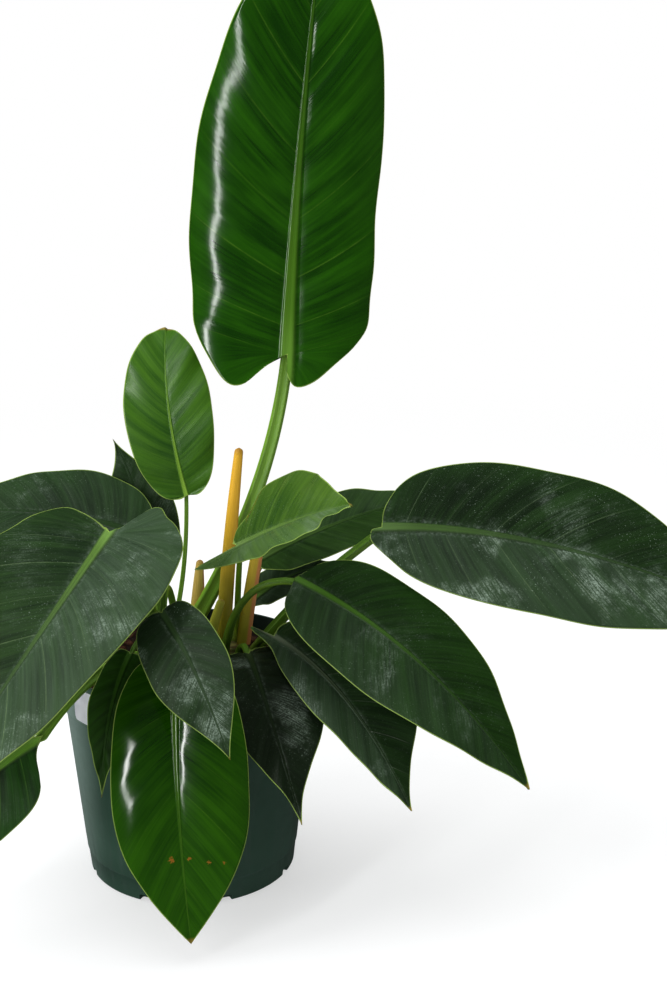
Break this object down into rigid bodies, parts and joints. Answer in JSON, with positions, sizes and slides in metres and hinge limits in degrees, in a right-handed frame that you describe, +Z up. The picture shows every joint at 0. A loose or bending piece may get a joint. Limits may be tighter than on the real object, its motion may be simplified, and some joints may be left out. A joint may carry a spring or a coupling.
{
  "type": "potted philodendron",
  "caption": "Young self-heading philodendron with broad glossy leaves on upright petioles, growing in a round tapered nursery pot that stands on its flat base.",
  "frame": {"origin": "centre of the pot's flat underside", "axes": "+Z up, along the pot's axis; -Y towards the side on which the plant's leaves are fullest; +X to the right as seen from there"},
  "size_m": [0.5252, 0.2765, 0.594],
  "materials": {
    "pot_plastic": "satin",
    "potting_mix": "matte",
    "label": "satin",
    "mature_leaf": "satin",
    "young_leaf": "gloss",
    "petiole": "satin",
    "sheath": "satin"
  },
  "bodies": {
    "root": {"pot": "pot_plastic", "potting_soil": "potting_mix", "pot_label": "label", "stem_left": "petiole", "stem_right": "petiole", "blade_tall": "young_leaf", "petiole_tall": "petiole", "blade_young_left": "young_leaf", "petiole_young_left": "petiole", "blade_back_pointed": "mature_leaf", "petiole_back_pointed": "petiole", "blade_back_left": "mature_leaf", "petiole_back_left": "petiole", "blade_front_left": "mature_leaf", "petiole_front_left": "petiole", "blade_low_left": "mature_leaf", "petiole_low_left": "petiole", "blade_front_dusty": "mature_leaf", "petiole_front_dusty": "petiole", "blade_rim_small": "mature_leaf", "petiole_rim_small": "petiole", "blade_hanging": "young_leaf", "petiole_hanging": "petiole", "blade_hanging_dark": "mature_leaf", "petiole_hanging_dark": "petiole", "blade_narrow": "mature_leaf", "petiole_narrow": "petiole", "blade_right_low": "mature_leaf", "petiole_right_low": "petiole", "blade_right_high": "mature_leaf", "petiole_right_high": "petiole", "blade_back_right": "mature_leaf", "petiole_back_right": "petiole", "blade_back_low": "mature_leaf", "petiole_back_low": "petiole", "blade_young_centre": "young_leaf", "petiole_young_centre": "petiole", "blade_right_under": "mature_leaf", "petiole_right_under": "petiole", "sheath_tall": "sheath", "sheath_right": "sheath", "sheath_short": "sheath", "sheath_left": "sheath"}
  },
  "joints": []
}
